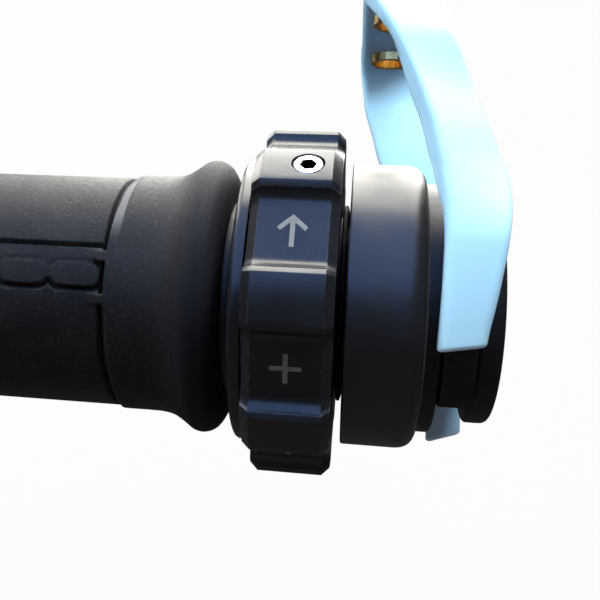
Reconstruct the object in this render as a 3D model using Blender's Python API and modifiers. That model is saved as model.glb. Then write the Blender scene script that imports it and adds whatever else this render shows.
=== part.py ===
"""Throttle grip with a twist-lock knob, bar-end weight and hand-guard end.

The handlebar's axis is world X, pointing outboard, and the handlebar's cut end lies at X = 0.
+Y points forward on the motorcycle and +Z up.  Turned parts are profiles in (x, radius).
"""
import bpy
import bmesh
import math
from mathutils import Matrix, Vector

MM = 0.001
GAP = 0.3                    # clearance between touching pieces, mm
STEPS = 48                   # facets round a large turned part
FINE_STEPS = 24              # facets round a small turned part
MERGE = 0.00001

# Throttle tube and rubber grip
BAR_RADIUS = 11.1            # 22.2 mm handlebar
TUBE_BORE_R = BAR_RADIUS + GAP
TUBE_OUTER_R = 13.7
TUBE_END_X = 0.5
REEL_FLANGE_R = 21.0
REEL_GROOVE_R = 17.5
REEL_START_X = -135.0
REEL_END_X = -122.0
GRIP_BORE_R = TUBE_OUTER_R + GAP
GRIP_R = 16.5
GRIP_START_X = -120.0
GRIP_FACE_X = -0.4
GRIP_GROOVE_X = -15.7
SLEEVE_R = 16.9
FLANGE_R = 19.5
FLANGE_X = -3.5
INNER_FLANGE_R = 20.0

# Spindle: spigot in the bar, hub with two flats, threaded stretch, outboard stub
SPIGOT_R = 7.6
SPIGOT_X = -24.0
HUB_R = 10.8
HUB_FLAT = 9.8
HUB_END_X = 6.5
THREAD_R = 12.0
THREAD_PITCH = 1.25
KNOB_TURN = 90.0             # degrees from free to locked
KNOB_TRAVEL = THREAD_PITCH * KNOB_TURN / 360.0
THREAD_END_X = 15.0
STUB_R = 10.5
STUB_END_X = 29.5
BOLT_R = 4.0
BOLT_BORE_R = BOLT_R + GAP

# Friction ring and knob
RING_R = 19.9
RING_X = (1.2, 3.0)
RING_BOSS_R = 14.7
RING_BOSS_END_X = 6.2
PAD_X = (TUBE_END_X + KNOB_TRAVEL + 0.14, 1.7)
PAD_R = (11.6, 14.4)
CLIP_X = (4.5, 5.5)
CLIP_R = (14.1, 15.7)
KNOB_X = (3.3, 14.3)
KNOB_R = 24.0
KNOB_FLAT = 21.5             # from the axis to the flats between the lobes
KNOB_LOBES = 8
LOBE_LAND = math.radians(7.5)        # half-angle of a lobe's land
LOBE_EDGE = math.radians(9.2)        # half-angle at the foot of its edge bevel
LOBE_EDGE_R = 23.45
LOBE_FLANK_R = 2.2                   # hollow flank between a lobe's edge and the flat beside it
KNOB_CHAMFER = 1.1
KNOB_COUNTERBORE_R = 15.0

# Set screw in one lobe of the knob
VIEW_TILT = math.radians(30.0)       # the guard's plane, up from horizontal
SCREW_ANGLE = math.radians(75.0)     # direction of the set screw, from +Y towards +Z
SCREW_X = 10.1
SCREW_R = 2.0
SCREW_TOP_R = 23.5
SCREW_LENGTH = 7.5
SOCKET_ACROSS_FLATS = 2.0
PLUG_LENGTH = 2.6

# Weight, collar, guard and cap
WEIGHT_X = (15.5, 25.7)
WEIGHT_R = 19.5
COLLAR_X = 26.0
COLLAR_END_X = 27.3
COLLAR_R = 17.1
NECK_R = 12.0
NECK_END_X = 31.6
CAP_X = (31.9, 34.9)
CAP_R = 15.4
CAP_SPIGOT_R = 8.8
CAP_SPIGOT_X = 30.4
BOLT_HEAD_R = 7.4
BOLT_END_X = -52.0
BUNG_X = (-43.8, -26.0)
BUNG_R = 7.5
WASHER_X = (-25.7, -24.3)
NUT_X = (-51.0, -44.1)
DOWEL_R = 1.0
DOWEL_AT = 14.6
DUST_RING_X = 14.9
DUST_RING_R = 13.1
BUSH_SIDE = 13.0             # half-width of the guard bush across its flats

# Hand-guard end: a U-shaped strap round the neck
ARM_INNER = 17.4             # half the space between the arms
ARM_THICKNESS = 3.2
FORK_TOP = 41.0              # outer face of the bridge, from the bar's axis
FORK_CORNER_R = 7.0
INSERT_SPACING = 18.0
INSERT_R = 3.0


def fresh_collection(name):
    group = bpy.data.collections.new(name)
    bpy.context.scene.collection.children.link(group)
    return group


for old in list(bpy.data.objects):
    bpy.data.objects.remove(old, do_unlink=True)

PARTS = fresh_collection("throttle_grip")
CUTTERS = fresh_collection("cutters")

ALONG_BAR = (0.0, math.pi / 2, 0.0)          # local Z becomes world X


def material(name, colour, roughness, metallic=0.0):
    mat = bpy.data.materials.new(name)
    mat.use_nodes = True
    shader = mat.node_tree.nodes["Principled BSDF"]
    shader.inputs["Base Color"].default_value = (*colour, 1.0)
    shader.inputs["Roughness"].default_value = roughness
    shader.inputs["Metallic"].default_value = metallic
    return mat


def add_object(name, mesh, group, mat=None):
    obj = bpy.data.objects.new(name, mesh)
    group.objects.link(obj)
    if mat:
        mesh.materials.append(mat)
    if group is CUTTERS:
        obj.hide_render = True
        obj.display_type = "WIRE"
    return obj


def arc(x, radius, size, start, end, count=5):
    """Points of a round edge in (x, radius), angles in degrees from +x towards +radius."""
    points = []
    for i in range(count):
        angle = math.radians(start + (end - start) * i / (count - 1))
        points.append((x + size * math.cos(angle), radius + size * math.sin(angle)))
    return points


def turned(name, profile, mat=None, group=PARTS, steps=STEPS, closed=True):
    """A profile of (x, radius) points in mm, outer side first from high x to low x."""
    mesh = bpy.data.meshes.new(name)
    verts = [(radius * MM, 0.0, x * MM) for x, radius in profile]
    edges = [(i, i + 1) for i in range(len(verts) - 1)]
    if closed:
        edges.append((len(verts) - 1, 0))
    mesh.from_pydata(verts, edges, [])
    obj = add_object(name, mesh, group, mat)
    obj.rotation_euler = ALONG_BAR
    screw = obj.modifiers.new("Turn", "SCREW")
    screw.axis = "Z"
    screw.angle = 2 * math.pi
    screw.steps = steps
    screw.render_steps = steps
    screw.use_merge_vertices = True
    screw.merge_threshold = MERGE
    screw.use_smooth_shade = True
    return obj


def cylinder(name, radius, length, matrix, mat=None, group=CUTTERS, sides=FINE_STEPS):
    """A cylinder centred on the matrix, along its local Z; sizes in mm."""
    mesh = bpy.data.meshes.new(name)
    bm = bmesh.new()
    bmesh.ops.create_cone(bm, cap_ends=True, segments=sides, radius1=radius * MM,
                          radius2=radius * MM, depth=length * MM)
    bm.to_mesh(mesh)
    bm.free()
    obj = add_object(name, mesh, group, mat)
    obj.matrix_world = matrix
    return obj


def box(name, size, centre):
    mesh = bpy.data.meshes.new(name)
    bm = bmesh.new()
    bmesh.ops.create_cube(bm, size=1.0)
    bmesh.ops.scale(bm, vec=Vector(size) * MM, verts=bm.verts)
    bm.to_mesh(mesh)
    bm.free()
    obj = add_object(name, mesh, CUTTERS)
    obj.location = Vector(centre) * MM
    return obj


def outline_prism(name, points, x_low, x_high, mat=None, group=CUTTERS):
    """A flat outline in (y, z) mm, extruded along the bar's axis."""
    curve = bpy.data.curves.new(name, "CURVE")
    curve.dimensions = "2D"
    curve.fill_mode = "BOTH"
    curve.extrude = (x_high - x_low) / 2 * MM
    spline = curve.splines.new("POLY")
    spline.points.add(len(points) - 1)
    for point, (y, z) in zip(spline.points, points):
        point.co = (-z * MM, y * MM, 0.0, 1.0)
    spline.use_cyclic_u = True
    flat = bpy.data.objects.new(name + "_outline", curve)
    bpy.context.scene.collection.objects.link(flat)
    flat.location = ((x_low + x_high) / 2 * MM, 0.0, 0.0)
    flat.rotation_euler = ALONG_BAR
    bpy.context.view_layer.update()
    mesh = bpy.data.meshes.new_from_object(flat.evaluated_get(bpy.context.evaluated_depsgraph_get()))
    mesh.name = name
    mesh.materials.clear()
    bm = bmesh.new()
    bm.from_mesh(mesh)
    bmesh.ops.remove_doubles(bm, verts=bm.verts, dist=MERGE)
    bmesh.ops.recalc_face_normals(bm, faces=bm.faces)
    bm.to_mesh(mesh)
    bm.free()
    obj = add_object(name, mesh, group, mat)
    obj.matrix_world = flat.matrix_world.copy()
    bpy.data.objects.remove(flat)
    return obj


def chamfered_prism(name, points, x_low, x_high, chamfer, mat, group):
    """A (y, z) outline extruded along the bar's axis, its two end rims chamfered inwards."""
    bm = bmesh.new()
    rings = []
    for x, inset in ((x_low, chamfer), (x_low + chamfer, 0.0), (x_high - chamfer, 0.0), (x_high, chamfer)):
        ring = []
        for y, z in points:
            scale = 1 - inset / math.hypot(y, z)
            ring.append(bm.verts.new((x * MM, y * scale * MM, z * scale * MM)))
        rings.append(ring)
    for lower, upper in zip(rings, rings[1:]):
        for i in range(len(points)):
            j = (i + 1) % len(points)
            bm.faces.new((lower[i], lower[j], upper[j], upper[i]))
    bm.faces.new(rings[0][::-1])
    bm.faces.new(rings[-1])
    bmesh.ops.recalc_face_normals(bm, faces=bm.faces)
    mesh = bpy.data.meshes.new(name)
    bm.to_mesh(mesh)
    bm.free()
    return add_object(name, mesh, group, mat)


def boolean(obj, cutter):
    mod = obj.modifiers.new(cutter.name, "BOOLEAN")
    mod.operation = "DIFFERENCE"
    mod.solver = "EXACT"
    mod.object = cutter


def radial(x, radius, angle):
    """Matrix at a radius from the bar's axis, with local Z pointing outwards."""
    outward = Vector((0.0, math.cos(angle), math.sin(angle)))
    along = Vector((1.0, 0.0, 0.0))
    side = outward.cross(along)
    turn = Matrix((along, side, outward)).transposed().to_4x4()
    place = Matrix.Translation(Vector((x * MM, 0.0, 0.0)) + outward * radius * MM)
    return place @ turn


def axis_empty(name, place):
    """A frame on a joint's axis, for the pieces that turn or slide together."""
    empty = bpy.data.objects.new(name, None)
    empty.empty_display_size = 0.01
    PARTS.objects.link(empty)
    empty.matrix_world = place
    bpy.context.view_layer.update()
    return empty


def parent_to(empty, *children):
    bpy.context.view_layer.update()
    for child in children:
        child.parent = empty
        child.matrix_parent_inverse = empty.matrix_world.inverted()


RUBBER = material("grip_rubber", (0.035, 0.035, 0.038), 0.75)
NYLON = material("black_nylon", (0.03, 0.03, 0.032), 0.5)
PAD_NYLON = material("white_nylon", (0.78, 0.77, 0.72), 0.45)
ANODISED = material("black_anodised", (0.028, 0.03, 0.036), 0.38, 0.85)
WEIGHT_BLACK = material("matt_black_weight", (0.035, 0.036, 0.04), 0.5, 0.6)
STEEL = material("zinc_steel", (0.62, 0.62, 0.6), 0.3, 1.0)
BRASS = material("brass", (0.72, 0.52, 0.2), 0.32, 1.0)
BUNG_RUBBER = material("bung_rubber", (0.04, 0.04, 0.04), 0.8)
GUARD_BLUE = material("guard_blue", (0.55, 0.8, 0.95), 0.25)


# ---------------------------------------------------------------- throttle tube and grip
def make_throttle_tube():
    third = (REEL_END_X - REEL_START_X) / 5
    lips = [REEL_START_X + third * i for i in range(6)]
    profile = [
        (TUBE_END_X, TUBE_BORE_R),
        (TUBE_END_X, TUBE_OUTER_R - 0.4),
        (TUBE_END_X - 0.4, TUBE_OUTER_R),
        (lips[5], TUBE_OUTER_R),
        (lips[5], REEL_FLANGE_R),
        (lips[4], REEL_FLANGE_R),
        (lips[4], REEL_GROOVE_R),
        (lips[3], REEL_GROOVE_R),
        (lips[3], REEL_FLANGE_R),
        (lips[2], REEL_FLANGE_R),
        (lips[2], REEL_GROOVE_R),
        (lips[1], REEL_GROOVE_R),
        (lips[1], REEL_FLANGE_R),
        (lips[0], REEL_FLANGE_R),
        (lips[0], TUBE_BORE_R),
    ]
    tube = turned("throttle_tube", profile, NYLON)
    middle = (REEL_START_X + REEL_END_X) / 2
    pocket = box("cable_nipple_pockets", (third * 3 + 0.02, 5.0, 6.0), (middle, 0.0, REEL_FLANGE_R - 2.6))
    boolean(tube, pocket)
    stop = box("reel_stop_flat", (REEL_END_X - REEL_START_X - 0.6, 60.0, 6.0),
               (middle - 1.0, 0.0, -REEL_GROOVE_R - 1.5))
    boolean(tube, stop)
    return tube


def make_rubber_grip():
    flare = [
        (GRIP_FACE_X, GRIP_BORE_R),
        (GRIP_FACE_X, 15.2),
        (GRIP_FACE_X - 0.3, 16.6),
        (GRIP_FACE_X - 0.9, 18.0),
        (GRIP_FACE_X - 1.8, FLANGE_R - 0.4),
        (FLANGE_X, FLANGE_R),
        (FLANGE_X - 1.1, FLANGE_R - 0.3),
        (FLANGE_X - 2.1, FLANGE_R - 1.1),
        (FLANGE_X - 3.0, FLANGE_R - 1.9),
        (FLANGE_X - 4.4, SLEEVE_R + 0.25),
    ]
    groove = [
        (GRIP_GROOVE_X + 1.6, SLEEVE_R),
        (GRIP_GROOVE_X + 0.5, GRIP_R - 0.9),
        (GRIP_GROOVE_X - 0.5, GRIP_R - 0.9),
        (GRIP_GROOVE_X - 0.9, GRIP_R),
    ]
    inner_end = [
        (GRIP_START_X + 7.0, GRIP_R),
        (GRIP_START_X + 4.0, GRIP_R + 1.2),
        (GRIP_START_X + 2.6, INNER_FLANGE_R),
        (GRIP_START_X + 0.6, INNER_FLANGE_R),
        (GRIP_START_X, INNER_FLANGE_R - 0.6),
        (GRIP_START_X, GRIP_BORE_R),
    ]
    return turned("rubber_grip", flare + groove + inner_end, RUBBER)


# ---------------------------------------------------------------- spindle and expander
def make_spindle():
    profile = [
        (STUB_END_X, BOLT_BORE_R),
        (STUB_END_X, STUB_R - 0.5),
        (STUB_END_X - 0.5, STUB_R),
        (THREAD_END_X, STUB_R),
        (THREAD_END_X, THREAD_R - 0.5),
        (THREAD_END_X - 0.5, THREAD_R),
        (HUB_END_X + 0.6, THREAD_R),
        (HUB_END_X, HUB_R),
        (0.0, HUB_R),
        (0.0, SPIGOT_R),
        (SPIGOT_X, SPIGOT_R),
        (SPIGOT_X, BOLT_BORE_R),
    ]
    spindle = turned("spindle", profile, ANODISED)
    for side in (-1, 1):
        flat = box("hub_flat_" + ("rear" if side < 0 else "front"), (HUB_END_X + 2.0, 4.0, 30.0),
                   (HUB_END_X / 2 - 1.0, side * (HUB_FLAT + 2.0), 0.0))
        boolean(spindle, flat)
    return spindle


def make_centre_bolt():
    profile = [
        (CAP_X[1] - 0.3, 0.0),
        (CAP_X[1] - 0.3, BOLT_HEAD_R),
        (CAP_X[1] - 0.8, BOLT_HEAD_R),
        (CAP_X[1] - 0.8 - (BOLT_HEAD_R - BOLT_R), BOLT_R),
        (BOLT_END_X + 0.8, BOLT_R),
        (BOLT_END_X, BOLT_R - 0.8),
        (BOLT_END_X, 0.0),
    ]
    bolt = turned("centre_bolt", profile, STEEL, steps=FINE_STEPS, closed=False)
    socket = cylinder("bolt_socket", 5.0 / math.sqrt(3), 7.0,
                      Matrix.Translation((CAP_X[1] * MM, 0, 0)) @ Matrix.Rotation(math.pi / 2, 4, "Y"), sides=6)
    boolean(bolt, socket)
    return bolt


def make_expander():
    washer = turned("bung_washer", [
        (WASHER_X[1], BOLT_BORE_R),
        (WASHER_X[1], BUNG_R),
        (WASHER_X[0], BUNG_R),
        (WASHER_X[0], BOLT_BORE_R),
    ], STEEL, steps=FINE_STEPS)
    middle = (BUNG_X[0] + BUNG_X[1]) / 2
    bung = turned("expander_bung", [
        (BUNG_X[1], BOLT_BORE_R),
        (BUNG_X[1], BUNG_R - 0.4),
        (middle, BUNG_R + 0.1),
        (BUNG_X[0], BUNG_R - 0.4),
        (BUNG_X[0], BOLT_BORE_R),
    ], BUNG_RUBBER, steps=FINE_STEPS)
    nut = turned("expander_nut", [
        (NUT_X[1], BOLT_BORE_R),
        (NUT_X[1], BUNG_R),
        (NUT_X[0] + 1.0, BUNG_R),
        (NUT_X[0], BUNG_R - 1.0),
        (NUT_X[0], BOLT_BORE_R),
    ], STEEL, steps=FINE_STEPS)
    return washer, bung, nut


# ---------------------------------------------------------------- friction ring
def double_d(radius, half_flat, count=12):
    """Outline of a round hub with two flats facing forward and back, in (y, z)."""
    reach = math.asin(half_flat / radius)
    points = []
    for centre in (math.pi / 2, -math.pi / 2):
        for i in range(count + 1):
            angle = centre + reach - 2 * reach * i / count
            points.append((radius * math.cos(angle), radius * math.sin(angle)))
    return points


def make_friction_ring():
    low, high = RING_X
    profile = [
        (RING_BOSS_END_X, 0.0),
        (RING_BOSS_END_X, RING_BOSS_R - 0.4),
        (RING_BOSS_END_X - 0.4, RING_BOSS_R),
        (CLIP_X[1] + GAP, RING_BOSS_R),
        (CLIP_X[1] + GAP, CLIP_R[0] - GAP),
        (CLIP_X[0] - GAP, CLIP_R[0] - GAP),
        (CLIP_X[0] - GAP, RING_BOSS_R),
        (high, RING_BOSS_R),
        (high, RING_R - 0.1),
    ]
    profile += arc(low + 0.9, RING_R - 0.9, 0.9, 90, 180)
    profile += [
        (low, PAD_R[1] + GAP),
        (PAD_X[1] + GAP, PAD_R[1] + GAP),
        (PAD_X[1] + GAP, 0.0),
    ]
    ring = turned("friction_ring", profile, ANODISED, closed=False)
    bore = outline_prism("ring_bore", double_d(HUB_R + GAP, HUB_FLAT + GAP), RING_X[0] - 2, RING_BOSS_END_X + 2)
    boolean(ring, bore)
    return ring


def make_friction_pad():
    return turned("friction_pad", [
        (PAD_X[1], PAD_R[0]),
        (PAD_X[1], PAD_R[1]),
        (PAD_X[0], PAD_R[1]),
        (PAD_X[0], PAD_R[0]),
    ], PAD_NYLON)


def make_ring_clip():
    """Open snap ring that holds the friction ring to the knob."""
    clip = turned("ring_clip", [
        (CLIP_X[1], CLIP_R[0]),
        (CLIP_X[1], CLIP_R[1]),
        (CLIP_X[0], CLIP_R[1]),
        (CLIP_X[0], CLIP_R[0]),
    ], STEEL)
    opening = box("clip_opening", (3.0, 3.0, 6.0), ((CLIP_X[0] + CLIP_X[1]) / 2, 0.0, -CLIP_R[1]))
    boolean(clip, opening)
    return clip


# ---------------------------------------------------------------- knob
def knob_flank(steps=4):
    """Points (angle from the lobe's middle, radius) down its hollow flank to the flat's edge."""
    flat_middle = math.pi / KNOB_LOBES
    half_width = LOBE_EDGE_R * math.sin(flat_middle - LOBE_EDGE)
    rise = LOBE_EDGE_R * math.cos(flat_middle - LOBE_EDGE) - KNOB_FLAT
    swing = math.acos(1 - rise / LOBE_FLANK_R)
    flat_edge = half_width - LOBE_FLANK_R * math.sin(swing)
    points = []
    for i in range(1, steps + 1):
        turn = swing * (1 - i / steps)
        across = flat_edge + LOBE_FLANK_R * math.sin(turn)
        out = KNOB_FLAT + LOBE_FLANK_R * (1 - math.cos(turn))
        points.append((flat_middle - math.atan2(across, out), math.hypot(across, out)))
    return points


def knob_outline():
    """Eight lobes with bevelled edges, hollow flanks and flats between them, in (y, z)."""
    side = [(LOBE_LAND / 3, KNOB_R), (LOBE_LAND, KNOB_R), (LOBE_EDGE, LOBE_EDGE_R)] + knob_flank()
    corners = [(-angle, radius) for angle, radius in side[::-1]] + side
    points = []
    for lobe in range(KNOB_LOBES):
        centre = SCREW_ANGLE + lobe * 2 * math.pi / KNOB_LOBES
        for offset, radius in corners:
            points.append((radius * math.cos(centre + offset), radius * math.sin(centre + offset)))
    return points


def make_friction_knob():
    low, high = KNOB_X
    knob = chamfered_prism("friction_knob", knob_outline(), low, high, KNOB_CHAMFER, ANODISED, PARTS)
    bore = turned("knob_bore", [
        (high + 1.0, 0.0),
        (high + 1.0, THREAD_R + GAP),
        (HUB_END_X + 0.2, THREAD_R + GAP),
        (HUB_END_X + 0.2, KNOB_COUNTERBORE_R),
        (CLIP_X[1] + GAP, KNOB_COUNTERBORE_R),
        (CLIP_X[1] + GAP, CLIP_R[1] + GAP),
        (CLIP_X[0] - GAP, CLIP_R[1] + GAP),
        (CLIP_X[0] - GAP, KNOB_COUNTERBORE_R),
        (low - 1.0, KNOB_COUNTERBORE_R),
        (low - 1.0, 0.0),
    ], group=CUTTERS, closed=False)
    boolean(knob, bore)
    hole = cylinder("set_screw_hole", SCREW_R + GAP, 16.0, radial(SCREW_X, 18.5, SCREW_ANGLE))
    boolean(knob, hole)
    return knob


def make_set_screw():
    middle = SCREW_TOP_R - SCREW_LENGTH / 2
    screw = cylinder("knob_set_screw", SCREW_R, SCREW_LENGTH, radial(SCREW_X, middle, SCREW_ANGLE), STEEL, PARTS)
    socket = cylinder("set_screw_socket", SOCKET_ACROSS_FLATS / math.sqrt(3), 5.0,
                      radial(SCREW_X, SCREW_TOP_R, SCREW_ANGLE), sides=6)
    boolean(screw, socket)
    plug_top = SCREW_TOP_R - SCREW_LENGTH - GAP
    plug = cylinder("nylon_plug", SCREW_R - 0.1, PLUG_LENGTH,
                    radial(SCREW_X, plug_top - PLUG_LENGTH / 2, SCREW_ANGLE), PAD_NYLON, PARTS)
    return screw, plug


# ---------------------------------------------------------------- weight, collar and cap
def make_dust_ring():
    """O-ring on the end of the spindle's thread, between the knob and the weight."""
    section = []
    for i in range(6):
        angle = math.radians(60 - 60 * i)
        section.append((DUST_RING_X + 0.4 * math.cos(angle), DUST_RING_R - 0.7 * math.sin(-angle)))
    return turned("dust_o_ring", section[::-1], BUNG_RUBBER)


def make_weight():
    low, high = WEIGHT_X
    profile = [(high, STUB_R + GAP)]
    profile += arc(high - 2.0, WEIGHT_R - 2.0, 2.0, 0, 90)
    profile += [
        (low + 0.3, WEIGHT_R),
        (low, WEIGHT_R - 0.3),
        (low, STUB_R + GAP),
    ]
    weight = turned("bar_end_weight", profile, WEIGHT_BLACK)
    boolean(weight, dowel_cutter("weight_dowel_hole"))
    return weight


def dowel_cutter(name):
    place = Matrix.Translation((WEIGHT_X[1] * MM, 0.0, -DOWEL_AT * MM)) @ Matrix.Rotation(math.pi / 2, 4, "Y")
    return cylinder(name, DOWEL_R + GAP, 5.6, place, sides=16)


def make_dowel():
    place = Matrix.Translation((WEIGHT_X[1] * MM - 0.2 * MM, 0.0, -DOWEL_AT * MM)) @ Matrix.Rotation(math.pi / 2, 4, "Y")
    return cylinder("collar_dowel", DOWEL_R, 4.0, place, STEEL, PARTS, sides=16)


def make_collar():
    profile = [
        (NECK_END_X, CAP_SPIGOT_R + GAP),
        (NECK_END_X, NECK_R),
        (COLLAR_END_X, NECK_R),
    ]
    profile += arc(COLLAR_END_X - 0.6, COLLAR_R - 0.6, 0.6, 0, 90, 4)
    profile += [
        (COLLAR_X, COLLAR_R),
        (COLLAR_X, STUB_R + GAP),
        (STUB_END_X + GAP, STUB_R + GAP),
        (STUB_END_X + GAP, CAP_SPIGOT_R + GAP),
    ]
    collar = turned("guard_collar", profile, ANODISED)
    boolean(collar, dowel_cutter("collar_dowel_hole"))
    return collar


def make_guard_bush():
    """Rubber ring on the neck with two flats, filling the space between the guard's arms."""
    outline = []
    for y, z in double_d(COLLAR_R, BUSH_SIDE):
        outline.append((y * math.cos(VIEW_TILT) - z * math.sin(VIEW_TILT),
                        y * math.sin(VIEW_TILT) + z * math.cos(VIEW_TILT)))
    bush = outline_prism("guard_bush", outline, COLLAR_END_X + GAP, NECK_END_X, BUNG_RUBBER, PARTS)
    bore = turned("bush_bore", [
        (NECK_END_X + 1.0, 0.0),
        (NECK_END_X + 1.0, NECK_R + GAP),
        (COLLAR_END_X - 1.0, NECK_R + GAP),
        (COLLAR_END_X - 1.0, 0.0),
    ], group=CUTTERS, closed=False)
    boolean(bush, bore)
    return bush


def make_end_cap():
    low, high = CAP_X
    slope = BOLT_HEAD_R - BOLT_R
    profile = [(high, BOLT_HEAD_R + GAP)]
    profile += arc(high - 1.0, CAP_R - 1.0, 1.0, 0, 90)
    profile += [
        (low + 0.3, CAP_R),
        (low, CAP_R - 0.3),
        (low, CAP_SPIGOT_R),
        (CAP_SPIGOT_X, CAP_SPIGOT_R),
        (CAP_SPIGOT_X, BOLT_BORE_R),
        (high - 0.8 - slope, BOLT_BORE_R),
        (high - 0.8, BOLT_HEAD_R + GAP),
    ]
    return turned("end_cap", profile, ANODISED)


# ---------------------------------------------------------------- hand-guard end
def between(stops, value):
    """Straight-line value between (position, value) stops."""
    if value <= stops[0][0]:
        return stops[0][1]
    for (a, low), (b, high) in zip(stops, stops[1:]):
        if value <= b:
            t = (value - a) / (b - a)
            return low + (high - low) * t
    return stops[-1][1]


# Strap edges along the bar's axis (inboard, outboard) against distance forward of it, mm
UPPER_ARM = ((-5.0, (26.4, 32.0)), (4.0, (26.7, 33.4)), (12.0, (26.5, 34.1)), (18.0, (25.8, 32.4)),
             (24.0, (23.6, 29.9)), (32.0, (19.6, 27.0)), (40.0, (15.4, 24.0)))
LOWER_ARM = ((-21.0, (28.9, 34.2)), (0.0, (27.2, 33.2)), (10.0, (26.2, 31.6)), (21.0, (19.6, 27.9)),
             (32.0, (16.4, 26.0)), (40.0, (15.4, 24.0)))


def strap_edges(stops, forward):
    inboard = between([(at, pair[0]) for at, pair in stops], forward)
    outboard = between([(at, pair[1]) for at, pair in stops], forward)
    return inboard, outboard


def strap_stations():
    """Centre-line stations (forward, height, inboard, outboard) from the upper tip to the lower."""
    middle = ARM_INNER + ARM_THICKNESS / 2
    top = FORK_TOP - ARM_THICKNESS / 2
    corner = FORK_CORNER_R
    stations = []
    upper = [-5.2, -1.0, 4.0, 8.0, 12.0, 15.0, 18.0, 21.0, 24.0, 28.0, top - corner]
    for forward in upper:
        stations.append((forward, middle, *strap_edges(UPPER_ARM, forward)))
    for i in range(1, 6):
        angle = math.pi / 2 * i / 5
        forward = top - corner + corner * math.sin(angle)
        height = middle - corner + corner * math.cos(angle)
        stations.append((forward, height, *strap_edges(UPPER_ARM, forward)))
    for i in range(5):
        angle = math.pi / 2 * i / 5
        forward = top - corner + corner * math.cos(angle)
        height = -middle + corner - corner * math.sin(angle)
        stations.append((forward, height, *strap_edges(LOWER_ARM, forward)))
    lower = [top - corner, 28.0, 21.0, 15.0, 10.0, 5.0, 0.0, -7.0, -14.0, -21.4]
    for forward in lower:
        stations.append((forward, -middle, *strap_edges(LOWER_ARM, forward)))
    return stations


def make_guard_fork():
    """Open strip lofted through the strap's stations, thickened by Solidify."""
    mesh = bpy.data.meshes.new("guard_fork")
    verts = []
    for forward, height, inboard, outboard in strap_stations():
        verts.append((inboard * MM, forward * MM, height * MM))
        verts.append((outboard * MM, forward * MM, height * MM))
    faces = [(2 * i, 2 * i + 1, 2 * i + 3, 2 * i + 2) for i in range(len(verts) // 2 - 1)]
    mesh.from_pydata(verts, [], faces)
    fork = add_object("guard_fork", mesh, PARTS, GUARD_BLUE)
    fork.rotation_euler = (VIEW_TILT, 0.0, 0.0)
    solid = fork.modifiers.new("Thickness", "SOLIDIFY")
    solid.thickness = ARM_THICKNESS * MM
    solid.offset = 0.0
    solid.use_even_offset = True
    edge = fork.modifiers.new("Edges", "BEVEL")
    edge.width = 0.6 * MM
    edge.segments = 2
    edge.limit_method = "ANGLE"
    edge.angle_limit = math.radians(50)
    bpy.context.view_layer.update()
    for side in (-1, 1):
        hole = cylinder("insert_hole_" + insert_side(side), INSERT_R + GAP, ARM_THICKNESS * 3, insert_place(side, 0.0))
        boolean(fork, hole)
    return fork


def insert_side(side):
    return "lower" if side < 0 else "upper"


def insert_place(side, outward):
    """Matrix of a guard insert on the bridge, with local Z pointing forward along the guard."""
    tilt = Matrix.Rotation(VIEW_TILT, 4, "X")
    forward = FORK_TOP - ARM_THICKNESS / 2 + outward
    inboard, outboard = strap_edges(UPPER_ARM, forward)
    spot = Matrix.Translation(Vector(((inboard + outboard) / 2, forward, side * INSERT_SPACING / 2)) * MM)
    return tilt @ spot @ Matrix.Rotation(-math.pi / 2, 4, "X")


def make_guard_inserts():
    inserts = []
    for side in (-1, 1):
        insert = cylinder("guard_insert_" + insert_side(side), INSERT_R, ARM_THICKNESS + 1.0,
                          insert_place(side, -0.6), BRASS, PARTS, sides=20)
        thread = cylinder("insert_thread_" + insert_side(side), 2.1, ARM_THICKNESS * 4,
                          insert_place(side, 0.0), sides=16)
        boolean(insert, thread)
        inserts.append(insert)
    return inserts


# ---------------------------------------------------------------- assembly
def shade(obj):
    if obj.type == "MESH" and obj.data.polygons:
        obj.data.shade_smooth()
        obj.data.set_sharp_from_angle(angle=math.radians(35))


def main():
    twist = axis_empty("throttle_axis", Matrix.Identity(4))
    parent_to(twist, make_throttle_tube(), make_rubber_grip())
    slide = axis_empty("ring_slide_axis", Matrix.Translation((RING_X[0] * MM, 0.0, 0.0)))
    parent_to(slide, make_friction_ring(), make_friction_pad(), make_ring_clip())
    turn = axis_empty("knob_axis", Matrix.Translation((KNOB_X[0] * MM, 0.0, 0.0)))
    adjust = axis_empty("set_screw_axis", radial(SCREW_X, SCREW_TOP_R, SCREW_ANGLE))
    parent_to(adjust, *make_set_screw())
    parent_to(turn, make_friction_knob(), adjust)
    parent_to(slide, turn)
    make_spindle()
    make_expander()
    make_dust_ring()
    make_weight()
    make_dowel()
    make_collar()
    make_guard_bush()
    make_guard_fork()
    make_guard_inserts()
    make_end_cap()
    make_centre_bolt()
    for obj in PARTS.objects:
        shade(obj)


main()
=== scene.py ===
"""Looks for the throttle grip: fine meshes, procedural materials, studio light and camera.

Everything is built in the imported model's frame: metres, +X outboard along the handlebar's axis,
+Y forward, +Z up.  Turned shapes are given in millimetres as (x, radius) and scaled once.
"""
import math

import bmesh
import bpy
import numpy as np
from mathutils import Matrix, Vector


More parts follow.
